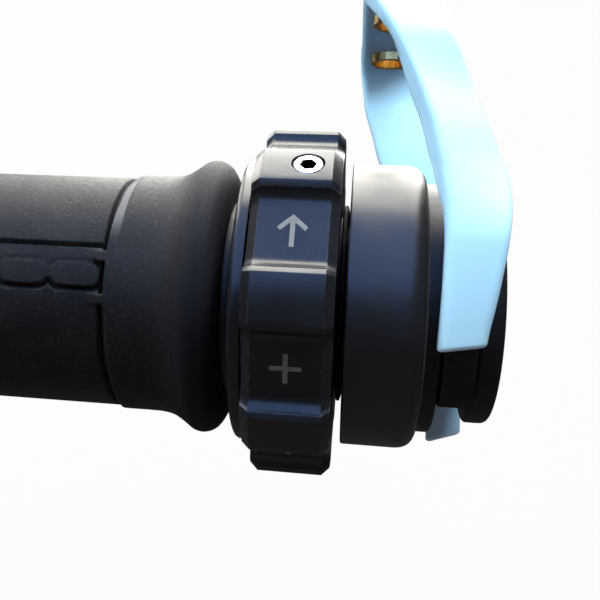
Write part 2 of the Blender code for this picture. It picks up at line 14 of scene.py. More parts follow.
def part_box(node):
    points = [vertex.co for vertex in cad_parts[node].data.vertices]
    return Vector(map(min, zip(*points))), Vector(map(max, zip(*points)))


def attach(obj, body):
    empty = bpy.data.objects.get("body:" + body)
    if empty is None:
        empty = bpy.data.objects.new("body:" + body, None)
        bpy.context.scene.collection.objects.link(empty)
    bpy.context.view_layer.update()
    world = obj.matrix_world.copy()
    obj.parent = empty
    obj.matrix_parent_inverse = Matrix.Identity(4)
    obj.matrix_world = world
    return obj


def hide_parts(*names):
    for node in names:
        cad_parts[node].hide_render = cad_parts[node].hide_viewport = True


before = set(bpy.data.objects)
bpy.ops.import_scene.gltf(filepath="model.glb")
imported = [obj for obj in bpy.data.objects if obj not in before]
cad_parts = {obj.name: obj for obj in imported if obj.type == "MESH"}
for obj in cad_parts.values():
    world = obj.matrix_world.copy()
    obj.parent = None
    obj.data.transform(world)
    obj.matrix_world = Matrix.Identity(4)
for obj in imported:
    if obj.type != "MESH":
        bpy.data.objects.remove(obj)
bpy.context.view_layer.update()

MM = 0.001
ROUND = 160                          # segments round a turned piece
GUARD_TILT = math.radians(30.0)      # the hand guard's plane, up from horizontal
NEAR_ANGLE = GUARD_TILT + math.pi / 2    # direction square to that plane, from +Y towards +Z
FORWARD = Vector((0.0, math.cos(GUARD_TILT), math.sin(GUARD_TILT)))
NEAR = Vector((0.0, math.cos(NEAR_ANGLE), math.sin(NEAR_ANGLE)))
SCREW_ANGLE = NEAR_ANGLE - math.radians(45.0)      # the lobe that holds the set screw


# ---------------------------------------------------------------- the frame's sizes
class Span:
    """A turned CAD node's stretch along the bar and its largest radius, in mm."""

    def __init__(self, node):
        low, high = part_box(node)
        self.low = low[0] / MM
        self.high = high[0] / MM
        self.radius = max(abs(low[1]), abs(low[2]), abs(high[1]), abs(high[2])) / MM


GRIP = Span("rubber_grip")
TUBE = Span("throttle_tube")
RING = Span("friction_ring")
PAD = Span("friction_pad")
KNOB = Span("friction_knob")
WEIGHT = Span("bar_end_weight")
COLLAR = Span("guard_collar")
CAP = Span("end_cap")
BUSH = Span("guard_bush")

COLLECTION = bpy.data.collections.new("pieces")
bpy.context.scene.collection.children.link(COLLECTION)


# ---------------------------------------------------------------- outlines
def fillet(points, closed=True, steps=4):
    """A polyline of (x, y, corner radius) with each corner rounded; returns (x, y) points."""
    out = []
    count = len(points)
    for i, (x, y, radius) in enumerate(points):
        here = Vector((x, y))
        if radius <= 0 or (not closed and i in (0, count - 1)):
            out.append((x, y))
            continue
        before = Vector(points[i - 1][:2]) - here
        after = Vector(points[(i + 1) % count][:2]) - here
        half = before.angle(after) / 2
        reach = min(radius / math.tan(half), before.length * 0.49, after.length * 0.49)
        start = here + before.normalized() * reach
        end = here + after.normalized() * reach
        for k in range(steps + 1):
            t = k / steps
            spot = (1 - t) ** 2 * start + 2 * t * (1 - t) * here + t ** 2 * end
            out.append((spot.x, spot.y))
    return out


# ---------------------------------------------------------------- meshes
def add_piece(name, mesh, mat, body, replaced=(), sharp=32.0):
    """Links a finished mesh as a piece that rides on a body and stands for CAD nodes."""
    bm = bmesh.new()
    bm.from_mesh(mesh)
    bmesh.ops.remove_doubles(bm, verts=bm.verts, dist=0.002 * MM)
    bmesh.ops.recalc_face_normals(bm, faces=bm.faces)
    bm.to_mesh(mesh)
    bm.free()
    mesh.shade_smooth()
    mesh.set_sharp_from_angle(angle=math.radians(sharp))
    mesh.materials.append(mat)
    obj = bpy.data.objects.new(name, mesh)
    COLLECTION.objects.link(obj)
    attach(obj, body)
    if replaced:
        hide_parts(*replaced)
    return obj


def grid_mesh(name, xs, angles, radii):
    """Closed loop of rings: xs is (n, m) and radii (n, m) in mm, angles (m,) from +Y to +Z."""
    rings, around = radii.shape
    verts = np.empty((rings, around, 3))
    verts[..., 0] = xs
    verts[..., 1] = radii * np.cos(angles)[None, :]
    verts[..., 2] = radii * np.sin(angles)[None, :]
    ring = np.arange(rings)[:, None]
    step = np.arange(around)[None, :]
    next_ring = (ring + 1) % rings
    next_step = (step + 1) % around
    faces = np.stack([ring * around + step, next_ring * around + step,
                      next_ring * around + next_step, ring * around + next_step], axis=-1)
    mesh = bpy.data.meshes.new(name)
    mesh.from_pydata((verts.reshape(-1, 3) * MM).tolist(), [], faces.reshape(-1, 4).tolist())
    return mesh


def lathe(name, profile):
    """A closed (x, radius) profile turned about the bar's axis."""
    angles = np.arange(ROUND) * 2 * math.pi / ROUND
    xs = np.array([p[0] for p in profile])[:, None] * np.ones(ROUND)[None, :]
    radii = np.array([p[1] for p in profile])[:, None] * np.ones(ROUND)[None, :]
    return grid_mesh(name, xs, angles, radii)


def turned_piece(name, corners, mat, body, replaced=(), steps=4):
    """A piece turned from (x, radius, corner radius) points."""
    mesh = lathe(name, fillet(corners, steps=steps))
    return add_piece(name, mesh, mat, body, replaced)


def cutter(mesh, matrix=None):
    """A tool for cut(), placed in the frame."""
    obj = bpy.data.objects.new("cutter", mesh)
    bpy.context.scene.collection.objects.link(obj)
    if matrix is not None:
        obj.matrix_world = matrix
    return obj


def cut(mesh, *cutters):
    """mesh with each cutter taken away by an exact Boolean; the cutters are removed."""
    obj = bpy.data.objects.new("blank", mesh)
    bpy.context.scene.collection.objects.link(obj)
    for tool in cutters:
        mod = obj.modifiers.new("cut", "BOOLEAN")
        mod.operation = "DIFFERENCE"
        mod.solver = "EXACT"
        mod.object = tool
    bpy.context.view_layer.update()
    graph = bpy.context.evaluated_depsgraph_get()
    result = bpy.data.meshes.new_from_object(obj.evaluated_get(graph))
    result.name = mesh.name
    result.materials.clear()
    bpy.data.objects.remove(obj)
    for tool in cutters:
        bpy.data.objects.remove(tool)
    return result


def prism_mesh(name, outline, low, high):
    """A flat (a, b) outline in mm extruded along local Z from low to high."""
    bm = bmesh.new()
    bottom = [bm.verts.new((a * MM, b * MM, low * MM)) for a, b in outline]
    top = [bm.verts.new((a * MM, b * MM, high * MM)) for a, b in outline]
    count = len(outline)
    bm.faces.new(bottom[::-1])
    bm.faces.new(top)
    for i in range(count):
        j = (i + 1) % count
        bm.faces.new((bottom[i], bottom[j], top[j], top[i]))
    mesh = bpy.data.meshes.new(name)
    bm.to_mesh(mesh)
    bm.free()
    return mesh


def circle(radius, sides, turn=0.0):
    """Points of a regular polygon, the first one turned by an angle."""
    return [(radius * math.cos(turn + 2 * math.pi * i / sides),
             radius * math.sin(turn + 2 * math.pi * i / sides)) for i in range(sides)]


def radial_place(x, radius, angle):
    """Matrix at a radius from the bar's axis: local X along the bar, local Z outwards."""
    outward = Vector((0.0, math.cos(angle), math.sin(angle)))
    along = Vector((1.0, 0.0, 0.0))
    turn = Matrix((along, outward.cross(along), outward)).transposed().to_4x4()
    return Matrix.Translation((Vector((x, 0.0, 0.0)) + outward * radius) * MM) @ turn


ALONG_BAR = Matrix.Rotation(math.pi / 2, 4, "Y")      # local Z becomes +X, local X becomes -Z


# ---------------------------------------------------------------- materials
class Look:
    """A Principled material with helpers for procedural detail in object space."""

    def __init__(self, name, colour, roughness, metallic=0.0, specular=0.5):
        self.mat = bpy.data.materials.new(name)
        self.mat.use_nodes = True
        self.tree = self.mat.node_tree
        self.shader = self.tree.nodes["Principled BSDF"]
        self.set("Base Color", (*colour, 1.0))
        self.set("Roughness", roughness)
        self.set("Metallic", metallic)
        self.set("Specular IOR Level", specular)
        self.colour = colour
        self.coords = self.node("ShaderNodeTexCoord").outputs["Object"]
        self.normal = None

    def set(self, socket, value):
        self.shader.inputs[socket].default_value = value

    def node(self, kind, **settings):
        made = self.tree.nodes.new(kind)
        for key, value in settings.items():
            setattr(made, key, value)
        return made

    def link(self, output, socket):
        self.tree.links.new(output, socket)

    def noise(self, scale, detail=3.0, rough=0.5, stretch=(1, 1, 1)):
        mapping = self.node("ShaderNodeMapping")
        mapping.inputs["Scale"].default_value = stretch
        self.link(self.coords, mapping.inputs["Vector"])
        made = self.node("ShaderNodeTexNoise")
        made.inputs["Scale"].default_value = scale
        made.inputs["Detail"].default_value = detail
        made.inputs["Roughness"].default_value = rough
        self.link(mapping.outputs["Vector"], made.inputs["Vector"])
        return made.outputs["Fac"]

    def along(self, direction=(1.0, 0.0, 0.0)):
        """Position along a direction, the bar's by default, in metres."""
        dot = self.node("ShaderNodeVectorMath", operation="DOT_PRODUCT")
        self.link(self.coords, dot.inputs[0])
        dot.inputs[1].default_value = direction
        return dot.outputs["Value"]

    def cells(self, scale):
        made = self.node("ShaderNodeTexVoronoi")
        made.inputs["Scale"].default_value = scale
        self.link(self.coords, made.inputs["Vector"])
        return made.outputs["Distance"]

    def ramp(self, value, low, high, from_min=0.0, from_max=1.0):
        """value mapped smoothly from one range to another."""
        made = self.node("ShaderNodeMapRange", interpolation_type="SMOOTHSTEP")
        made.inputs["From Min"].default_value = from_min
        made.inputs["From Max"].default_value = from_max
        made.inputs["To Min"].default_value = low
        made.inputs["To Max"].default_value = high
        self.link(value, made.inputs["Value"])
        return made.outputs["Result"]

    def math(self, operation, a, b):
        made = self.node("ShaderNodeMath", operation=operation)
        for socket, value in zip(made.inputs, (a, b)):
            if isinstance(value, (int, float)):
                socket.default_value = value
            else:
                self.link(value, socket)
        return made.outputs["Value"]

    def mix_colour(self, factor, other):
        """Mixes another colour over the base colour so far."""
        made = self.node("ShaderNodeMix", data_type="RGBA")
        base = self.shader.inputs["Base Color"]
        if base.is_linked:
            self.link(base.links[0].from_socket, made.inputs["A"])
        else:
            made.inputs["A"].default_value = base.default_value[:]
        made.inputs["B"].default_value = (*other, 1.0)
        self.link(factor, made.inputs["Factor"])
        self.link(made.outputs["Result"], base)

    def roughness(self, value):
        self.link(value, self.shader.inputs["Roughness"])

    def bump(self, height, strength, distance):
        """Adds a layer of bump; distance in mm."""
        made = self.node("ShaderNodeBump")
        made.inputs["Strength"].default_value = strength
        made.inputs["Distance"].default_value = distance * MM
        self.link(height, made.inputs["Height"])
        if self.normal is not None:
            self.link(self.normal, made.inputs["Normal"])
        self.normal = made.outputs["Normal"]
        self.link(self.normal, self.shader.inputs["Normal"])

    def worn_edges(self, reach=0.22):
        """1 where the paint has rubbed thin on an edge, broken up by noise; reach in mm."""
        rounded = self.node("ShaderNodeBevel", samples=4)
        rounded.inputs["Radius"].default_value = reach * MM
        plain = self.node("ShaderNodeNewGeometry")
        dot = self.node("ShaderNodeVectorMath", operation="DOT_PRODUCT")
        self.link(rounded.outputs["Normal"], dot.inputs[0])
        self.link(plain.outputs["Normal"], dot.inputs[1])
        edge = self.ramp(dot.outputs["Value"], 1.0, 0.0, 0.93, 0.995)
        return self.math("MULTIPLY", edge, self.ramp(self.noise(900.0, 3.0), 0.0, 1.0, 0.42, 0.6))


FLARE_ROOT = (-8.5 * MM, -4.5 * MM)      # along the bar, where the body's lighter speckled tone ends and the darker, rougher flange begins
HIGHLIGHT_BAND = (-15.3, -15.0, -13.95, -13.75)    # painted highlight: a lighter band beside the groove, where light falls on its bevel, along the bar, mm
HIGHLIGHT_BAND_UP = (6.5 * MM, 11.0 * MM)          # where the painted highlight starts, towards FORWARD (the lit top)
HIGHLIGHT_BAND_NEAR = (5.5 * MM, 8.5 * MM)         # and towards NEAR, so that the painted highlight stays on the lit side facing the camera


def painted_highlight_band(look):
    """1 on the painted highlight: the band of rubber beside the groove round the grip, kept to its lit upper
    side towards the camera.
    """
    band = look.math("MULTIPLY", look.ramp(look.along(), 0.0, 0.8, HIGHLIGHT_BAND[0] * MM, HIGHLIGHT_BAND[1] * MM),
                     look.ramp(look.along(), 1.0, 0.0, HIGHLIGHT_BAND[2] * MM, HIGHLIGHT_BAND[3] * MM))
    band = look.math("MULTIPLY", band, look.ramp(look.along(FORWARD), 0.0, 1.0, *HIGHLIGHT_BAND_UP))
    return look.math("MULTIPLY", band, look.ramp(look.along(NEAR), 0.0, 1.0, *HIGHLIGHT_BAND_NEAR))


def grip_rubber():
    look = Look("grip_rubber", (0.01, 0.0105, 0.013), 0.6)
    # the lighter speckled tone covers the body only, so the flange stays darker
    off_flange = look.ramp(look.along(), 1.0, 0.0, *FLARE_ROOT)
    dust = look.ramp(look.noise(160.0, 4.0), 0.12, 0.36, 0.4, 0.75)
    look.mix_colour(look.math("MULTIPLY", off_flange, dust), (0.03, 0.03, 0.03))
    specks = look.ramp(look.noise(2400.0, 2.0), 0.0, 0.5, 0.56, 0.74)
    look.mix_colour(look.math("MULTIPLY", off_flange, specks), (0.045, 0.045, 0.045))
    # painted highlight: lighter rubber on the lit band beside the groove
    look.mix_colour(painted_highlight_band(look), (0.13, 0.13, 0.145))
    on_flange = look.ramp(look.along(), 0.0, 0.12, *FLARE_ROOT)
    look.roughness(look.math("ADD", on_flange, look.ramp(look.noise(1500.0, 3.0), 0.46, 0.56, 0.3, 0.7)))
    shine = look.ramp(look.along(), 0.17, 0.15, -7.5 * MM, -4.0 * MM)
    look.link(shine, look.shader.inputs["Specular IOR Level"])
    look.bump(look.cells(2600.0), 0.4, 0.05)
    look.bump(look.noise(5200.0, 2.0), 0.3, 0.04)
    return look.mat


def anodised(name="black_anodised", colour=(0.008, 0.009, 0.012), rough=0.28):
    look = Look(name, colour, rough, specular=0.6)
    look.roughness(look.ramp(look.noise(260.0, 3.0), rough - 0.04, rough + 0.07, 0.3, 0.7))
    look.mix_colour(look.ramp(look.noise(120.0, 3.0), 0.0, 0.5, 0.4, 0.75), (0.012, 0.013, 0.016))
    look.mix_colour(look.worn_edges(), (0.1, 0.1, 0.105))
    look.bump(look.noise(3600.0, 2.0), 0.05, 0.02)
    return look.mat


def matt_anodised():
    look = Look("matt_anodised", (0.008, 0.0085, 0.011), 0.45, specular=0.3)
    look.roughness(look.ramp(look.noise(260.0, 3.0), 0.4, 0.5, 0.3, 0.7))
    look.mix_colour(look.ramp(look.noise(120.0, 3.0), 0.0, 0.5, 0.4, 0.75), (0.012, 0.013, 0.016))
    look.mix_colour(look.worn_edges(), (0.06, 0.06, 0.064))
    look.bump(look.noise(3600.0, 2.0), 0.05, 0.02)
    return look.mat


def weight_paint():
    look = Look("matt_black_weight", (0.009, 0.0095, 0.012), 0.36, specular=0.51)
    look.set("IOR", 1.62)
    look.set("Sheen Weight", 0.1)
    look.set("Sheen Roughness", 0.32)
    look.roughness(look.ramp(look.noise(300.0, 3.0), 0.33, 0.41, 0.3, 0.7))
    look.mix_colour(look.ramp(look.noise(90.0, 3.0), 0.0, 0.5, 0.4, 0.75), (0.014, 0.0145, 0.018))
    look.bump(look.noise(4200.0, 2.0), 0.1, 0.03)
    return look.mat


def moulded_nylon():
    look = Look("tube_nylon", (0.03, 0.031, 0.034), 0.45)
    look.roughness(look.ramp(look.noise(400.0, 3.0), 0.4, 0.55, 0.3, 0.7))
    look.mix_colour(look.ramp(look.noise(140.0, 3.0), 0.0, 0.5, 0.45, 0.75), (0.05, 0.05, 0.052))
    look.bump(look.noise(1500.0, 3.0), 0.12, 0.03)
    return look.mat


def pale_nylon():
    look = Look("pad_nylon", (0.68, 0.67, 0.61), 0.42)
    look.set("Subsurface Weight", 0.15)
    look.set("Subsurface Scale", 0.5 * MM)
    look.roughness(look.ramp(look.noise(500.0, 3.0), 0.36, 0.5, 0.3, 0.7))
    look.mix_colour(look.ramp(look.noise(700.0, 3.0), 0.0, 0.5, 0.5, 0.8), (0.52, 0.5, 0.45))
    look.bump(look.noise(1800.0, 2.0), 0.08, 0.02)
    return look.mat


def bright_steel():
    look = Look("zinc_steel", (0.72, 0.72, 0.71), 0.22, metallic=1.0)
    look.roughness(look.ramp(look.noise(900.0, 3.0), 0.16, 0.34, 0.3, 0.7))
    look.mix_colour(look.ramp(look.noise(500.0, 3.0), 0.0, 0.5, 0.5, 0.8), (0.5, 0.49, 0.46))
    look.bump(look.noise(2600.0, 2.0, stretch=(1, 1, 6)), 0.06, 0.02)
    return look.mat


def turned_brass():
    look = Look("insert_brass", (0.72, 0.52, 0.2), 0.28, metallic=1.0)
    look.roughness(look.ramp(look.noise(900.0, 3.0), 0.2, 0.4, 0.3, 0.7))
    look.mix_colour(look.ramp(look.noise(600.0, 3.0), 0.0, 0.6, 0.5, 0.8), (0.5, 0.33, 0.12))
    look.bump(look.noise(2600.0, 2.0), 0.06, 0.02)
    return look.mat


def seal_rubber():
    look = Look("seal_rubber", (0.01, 0.01, 0.011), 0.75, specular=0.25)
    look.roughness(look.ramp(look.noise(700.0, 3.0), 0.6, 0.8, 0.3, 0.7))
    look.mix_colour(look.ramp(look.noise(300.0, 3.0), 0.0, 0.5, 0.45, 0.75), (0.016, 0.016, 0.017))
    look.bump(look.noise(2600.0, 2.0), 0.15, 0.03)
    return look.mat


def guard_plastic():
    look = Look("guard_blue", (0.43, 0.72, 0.94), 0.22)
    look.set("Subsurface Weight", 0.25)
    look.set("Subsurface Radius", (0.6, 0.9, 1.0))
    look.set("Subsurface Scale", 1.5 * MM)
    look.set("Coat Weight", 0.4)
    look.set("Coat Roughness", 0.08)
    look.roughness(look.ramp(look.noise(120.0, 3.0), 0.16, 0.28, 0.3, 0.7))
    look.mix_colour(look.ramp(look.noise(70.0, 3.0), 0.0, 0.5, 0.4, 0.8), (0.48, 0.76, 0.95))
    look.bump(look.noise(260.0, 2.0), 0.05, 0.05)
    return look.mat


# painted shade: near-black for the inside of the screw's hex socket, where shade falls
def socket_painted_shade():
    look = Look("socket_painted_shade", (0.006, 0.006, 0.007), 0.6, specular=0.2)
    look.roughness(look.ramp(look.noise(2400.0, 2.0), 0.5, 0.7, 0.3, 0.7))
    look.mix_colour(look.ramp(look.noise(1800.0, 2.0), 0.0, 0.6, 0.4, 0.75), (0.016, 0.015, 0.014))
    look.bump(look.noise(3200.0, 2.0), 0.2, 0.02)
    return look.mat


def laser_mark():
    look = Look("laser_mark", (0.18, 0.185, 0.19), 0.6, specular=0.3)
    look.roughness(look.ramp(look.noise(1800.0, 3.0), 0.45, 0.65, 0.3, 0.7))
    look.mix_colour(look.ramp(look.noise(2600.0, 3.0), 0.0, 0.8, 0.4, 0.75), (0.12, 0.122, 0.128))
    look.bump(look.noise(5200.0, 2.0), 0.1, 0.01)
    return look.mat


def pale_floor():
    """White by its own light: it takes no shadow and stays as plain as the photo's cut-out ground."""
    look = Look("pale_floor", (0.01, 0.01, 0.01), 0.9, specular=0.0)
    look.mix_colour(look.ramp(look.noise(6.0, 3.0), 0.0, 0.3, 0.4, 0.7), (0.014, 0.014, 0.014))
    look.set("Emission Color", (1.0, 1.0, 1.0, 1.0))
    look.set("Emission Strength", 0.965)
    return look.mat


RUBBER = grip_rubber()
ANODISED = anodised()
MATT = matt_anodised()
PAINT = weight_paint()
# the spindle's own black anodising, made darker and duller so the gap between knob and weight stays black:
# partly painted shade
SPINDLE_SHADE_BLACK = anodised("spindle_black_painted_shade", (0.005, 0.005, 0.006), 0.55)
NYLON = moulded_nylon()
PALE_NYLON = pale_nylon()
STEEL = bright_steel()
BRASS = turned_brass()
SEAL = seal_rubber()
BLUE = guard_plastic()
MARK = laser_mark()
SOCKET_SHADE = socket_painted_shade()


# ---------------------------------------------------------------- camera
CAMERA_X = 16.7              # mm along the bar where the view is square to it
CAMERA_DISTANCE = 121.4      # mm from the bar's axis
SENSOR = 36.0                # frame width, mm
LENS = 51.0                  # focal length, mm
SHIFT = (0.112667, -0.054)   # the frame's middle from the optical centre, in frame widths
YAW = math.radians(8.35)
PITCH = math.radians(1.96)
ROLL = math.radians(3.16)


def make_camera():
    data = bpy.data.cameras.new("camera")
    data.sensor_width = SENSOR
    data.lens = LENS
    data.shift_x, data.shift_y = SHIFT
    data.clip_start = 0.005
    data.clip_end = 10.0
    camera = bpy.data.objects.new("camera", data)
    bpy.context.scene.collection.objects.link(camera)
    square = Matrix((Vector((1, 0, 0)), FORWARD, NEAR)).transposed().to_4x4()
    turn = Matrix.Rotation(YAW, 4, "Y") @ Matrix.Rotation(PITCH, 4, "X") @ Matrix.Rotation(ROLL, 4, "Z")
    place = Matrix.Translation(Vector((CAMERA_X * MM, 0, 0)) + NEAR * CAMERA_DISTANCE * MM)
    camera.matrix_world = place @ square @ turn
    bpy.context.scene.camera = camera


# ---------------------------------------------------------------- light and floor
FLOOR_LEVEL = -0.09          # m
FLOOR_HALF = 3.0             # m
BACKDROP = ((2.6, 0.001), (3.2, 0.08), (3.7, 0.4), (4.0, 1.0), (4.1, 2.0), (4.1, 7.0))    # radius, height, m
BACKDROP_SIDES = 64
AIM = Vector((5 * MM, 0, 0))             # the spot that every lamp faces


def towards(angle, sideways=0.0):
    """Unit direction at an angle up from the camera's, in degrees, and sideways along the bar."""
    turn = math.radians(angle)
    return (NEAR * math.cos(turn) + FORWARD * math.sin(turn) + Vector((sideways, 0, 0))).normalized()


def area_light(name, direction, distance, size, power, colour, glossy=True, diffuse=True):
    """A rectangular lamp: distance and (across, up) size in metres, power in watts."""
    data = bpy.data.lights.new(name, "AREA")
    data.shape = "RECTANGLE"
    data.size, data.size_y = size
    data.energy = power
    data.color = colour
    lamp = bpy.data.objects.new(name, data)
    bpy.context.scene.collection.objects.link(lamp)
    lamp.location = AIM + direction * distance
    across = Vector((1, 0, 0)) - direction * direction.x
    across.normalize()
    lamp.rotation_euler = Matrix((across, direction.cross(across), direction)).transposed().to_euler()
    lamp.visible_glossy = glossy
    lamp.visible_diffuse = diffuse
    lamp.visible_camera = False


def backdrop_mesh():
    """A round wall that curves up from the floor."""
    turns = [2 * math.pi * k / BACKDROP_SIDES for k in range(BACKDROP_SIDES)]
    verts = [(radius * math.cos(turn), radius * math.sin(turn), FLOOR_LEVEL + height)
             for radius, height in BACKDROP for turn in turns]
    faces = []
    for i in range(len(BACKDROP) - 1):
        lower, upper = i * BACKDROP_SIDES, (i + 1) * BACKDROP_SIDES
        for k in range(BACKDROP_SIDES):
            after = (k + 1) % BACKDROP_SIDES
            faces.append((lower + k, upper + k, upper + after, lower + after))
    mesh = bpy.data.meshes.new("backdrop")
    mesh.from_pydata(verts, [], faces)
    mesh.shade_smooth()
    return mesh


def make_stage():
    """Floor and backdrop, kept out of the object's reflections and shading."""
    white = pale_floor()
    plane = bpy.data.meshes.new("floor")
    corners = [(-1, -1), (1, -1), (1, 1), (-1, 1)]
    plane.from_pydata([(x * FLOOR_HALF, y * FLOOR_HALF, FLOOR_LEVEL) for x, y in corners], [], [(0, 1, 2, 3)])
    floor = bpy.data.objects.new("floor", plane)
    backdrop = bpy.data.objects.new("backdrop", backdrop_mesh())
    for obj in (floor, backdrop):
        obj.data.materials.append(white)
        bpy.context.scene.collection.objects.link(obj)
        obj.visible_glossy = False
        obj.visible_diffuse = False
        obj.visible_shadow = False


def make_lights():
    """The lamps and the plain world, set by comparing colours with the photo."""
    area_light("key", towards(118, 0.04), 0.6, (0.58, 0.9), 15.0, (1.0, 0.97, 0.91))
    area_light("side", towards(110, -0.85), 0.6, (0.16, 0.7), 2.4, (1.0, 0.97, 0.92), diffuse=False)
    area_light("left", towards(62, -1.6), 0.3, (0.2, 0.2), 1.3, (0.9, 0.96, 1.0), glossy=False)
    area_light("sky", towards(44, -0.15), 0.7, (1.0, 1.0), 6.2, (0.22, 0.43, 0.95), diffuse=False)
    area_light("fill", towards(52, 0.5), 0.09, (0.04, 0.04), 0.102, (0.84, 0.93, 1.0), glossy=False)
    area_light("bounce", towards(-80), 0.5, (0.8, 0.5), 0.8, (1.0, 0.62, 0.58), glossy=False)
    area_light("ground", towards(-75), 0.6, (0.8, 0.5), 0.05, (1.0, 0.8, 0.7), diffuse=False)
    world = bpy.data.worlds.new("studio")
    world.use_nodes = True
    background = world.node_tree.nodes["Background"]
    background.inputs["Color"].default_value = (1.0, 0.97, 0.97, 1.0)
    background.inputs["Strength"].default_value = 0.065
    bpy.context.scene.world = world
    bpy.context.scene.view_settings.view_transform = "Standard"


# ---------------------------------------------------------------- rubber grip
BODY_R = 16.5                # main stretch of the grip, mm
SLEEVE_R = 16.9              # smooth stretch next to the end flange
BORE_R = 14.0                # round the throttle tube
TUBE_BORE = 11.4             # runs on the 22.2 mm handlebar
RING_GROOVE = -15.5          # where the groove runs round the grip
INNER_GROOVE = GRIP.low + 12.0
GROOVE_DEPTH = 0.8
PAD_ROW_ANGLE = NEAR_ANGLE - math.radians(6.1)      # middle of a row of small pads
HALF_TURN = math.pi * BODY_R             # from one row of pads to the other, round the grip
PAD_COUNT = 13               # small pads in a row
PAD_PITCH = (RING_GROOVE - INNER_GROOVE) / PAD_COUNT
PAD_HALF = 1.93              # half-height of a small pad, round the grip
PAD_CORNER = 1.6             # rounding of a small pad's corners
SOFT_FLANK = 0.7             # slope of a groove's flank that faces down
STEEP_FLANK = 1.8            # slope of its flank that faces up
LONG_GROOVE = 3.87           # from the row's middle round to the long groove


def smooth(edge, width, value):
    """0 below edge - width, 1 above edge + width."""
    t = np.clip((value - edge + width) / (2 * width), 0.0, 1.0)
    return t * t * (3 - 2 * t)


def line(distance, half, soft):
    """1 on a line of the given half-width, 0 away from it."""
    return 1.0 - smooth(half, soft, np.abs(distance))


def between(value, low, high, soft):
    """1 from low to high, 0 outside."""
    return smooth(low, soft, value) * (1.0 - smooth(high, soft, value))


def catmull(points, steps=6):
    """A smooth curve through (x, y) points."""
    out = []
    for i in range(len(points) - 1):
        p0 = np.array(points[max(i - 1, 0)])
        p1, p2 = np.array(points[i]), np.array(points[i + 1])
        p3 = np.array(points[min(i + 2, len(points) - 1)])
        for k in range(steps):
            t = k / steps
            spot = 0.5 * (2 * p1 + (p2 - p0) * t + (2 * p0 - 5 * p1 + 4 * p2 - p3) * t * t
                          + (3 * p1 - p0 - 3 * p2 + p3) * t ** 3)
            out.append((float(spot[0]), float(spot[1])))
    out.append(tuple(points[-1]))
    return out


def grip_stations(start, stop):
    """Positions along the grip, dense where grooves cross it."""
    stations = set(np.arange(start + 0.6, stop, 0.9).round(3))
    crossing = RING_GROOVE
    while crossing > INNER_GROOVE:
        stations.update((crossing + np.linspace(-0.85, 0.85, 11)).round(3))
        crossing -= PAD_PITCH
    stations.update(np.arange(RING_GROOVE - 1.0, RING_GROOVE + 2.0, 0.09).round(3))
    stations.update(np.arange(INNER_GROOVE - 1.8, INNER_GROOVE + 1.0, 0.15).round(3))
    ordered = [s for s in sorted(stations, reverse=True) if start < s < stop]
    return [s for i, s in enumerate(ordered) if i == 0 or ordered[i - 1] - s > 0.03]


def grip_angles():
    """Angles round the grip, dense at the two rows of small pads."""
    dense_half = 5.2 / BODY_R
    dense = np.linspace(-dense_half, dense_half, 79)
    coarse = np.linspace(dense_half, math.pi - dense_half, 60)[1:-1]
    rows = [row + part for row in (0.0, math.pi) for part in (dense, coarse)]
    return np.sort(np.concatenate(rows)) + PAD_ROW_ANGLE


def broken_groove(row):
    """1 where the groove round the grip is interrupted, beside each row of pads."""
    return np.clip(between(row, 1.7, 3.35, 0.22) + between(row, -3.75, -2.25, 0.3), 0.0, 1.0)


def row_distance(around):
    """Distance round the grip from the middle of the nearer row of pads."""
    return np.mod(around + HALF_TURN / 2, HALF_TURN) - HALF_TURN / 2


def ring_groove(away, row):
    """The fine groove round the grip, wider towards its top; away is the distance from its middle."""
    top = smooth(12.0, 8.0, row)
    return line(away - 0.3 * top, 0.26 + 0.28 * top, 0.2) * (1.0 - broken_groove(row))


def groove_ledge(away, row):
    """A ledge beside the fine groove, above a row of pads, that runs out into the sleeve."""
    stretch = smooth(6.5, 2.5, row) * (1.0 - smooth(21.0, 4.0, row))
    run_out = 1.0 - np.clip((away - 0.1) / 1.9, 0.0, 1.0)
    return 0.48 * stretch * smooth(0.0, 0.1, away) * run_out


def wide_groove(away, row):
    """The wider stretch of the groove round the grip, below a row of pads."""
    stretch = (1.0 - smooth(-4.4, 0.5, row)) * smooth(-21.0, 4.0, row)
    return 0.9 * stretch * line(away - 0.1, 0.42, 0.42)


def long_groove(row):
    """The groove along the grip, above a row of pads."""
    across = row - LONG_GROOVE
    across = np.where(across < 0.0, across * STEEP_FLANK, across * SOFT_FLANK)
    return 0.7 * line(across, 0.22, 0.22)


def pad_outlines(x, row):
    """The grooves round the small pads: deep below each pad, faint elsewhere but next to RING_GROOVE."""
    index = np.floor((RING_GROOVE - x) / PAD_PITCH)
    middle = RING_GROOVE - (index + 0.5) * PAD_PITCH
    along = np.abs(x - middle) - PAD_PITCH / 2
    across = np.abs(row) - PAD_HALF
    outside = np.hypot(np.maximum(along + PAD_CORNER, 0.0), np.maximum(across + PAD_CORNER, 0.0))
    inside = np.minimum(np.maximum(along, across) + PAD_CORNER, 0.0)
    rim = outside + inside - PAD_CORNER
    rim = np.where(rim > 0.0, rim * STEEP_FLANK, rim)
    upper_side = smooth(-PAD_HALF + 1.1, 0.5, row)
    fade = 1.0 - (0.92 - 0.67 * smooth(RING_GROOVE - 1.1, 0.4, x)) * upper_side
    return 0.85 * line(rim, 0.34, 0.24) * fade * between(row, -PAD_HALF - 0.8, PAD_HALF + 0.6, 0.2)


def carving(x, around):
    """Depth of the moulded grooves, 0 to 1, from the distance round from a row's middle."""
    row = row_distance(around)
    away = x - RING_GROOVE
    body = between(x, INNER_GROOVE, RING_GROOVE, 0.25)
    return np.maximum.reduce([
        ring_groove(away, row), groove_ledge(away, row), wide_groove(away, row),
        line(x - INNER_GROOVE, 0.35, 0.3), long_groove(row) * body, pad_outlines(x, row) * body,
    ])


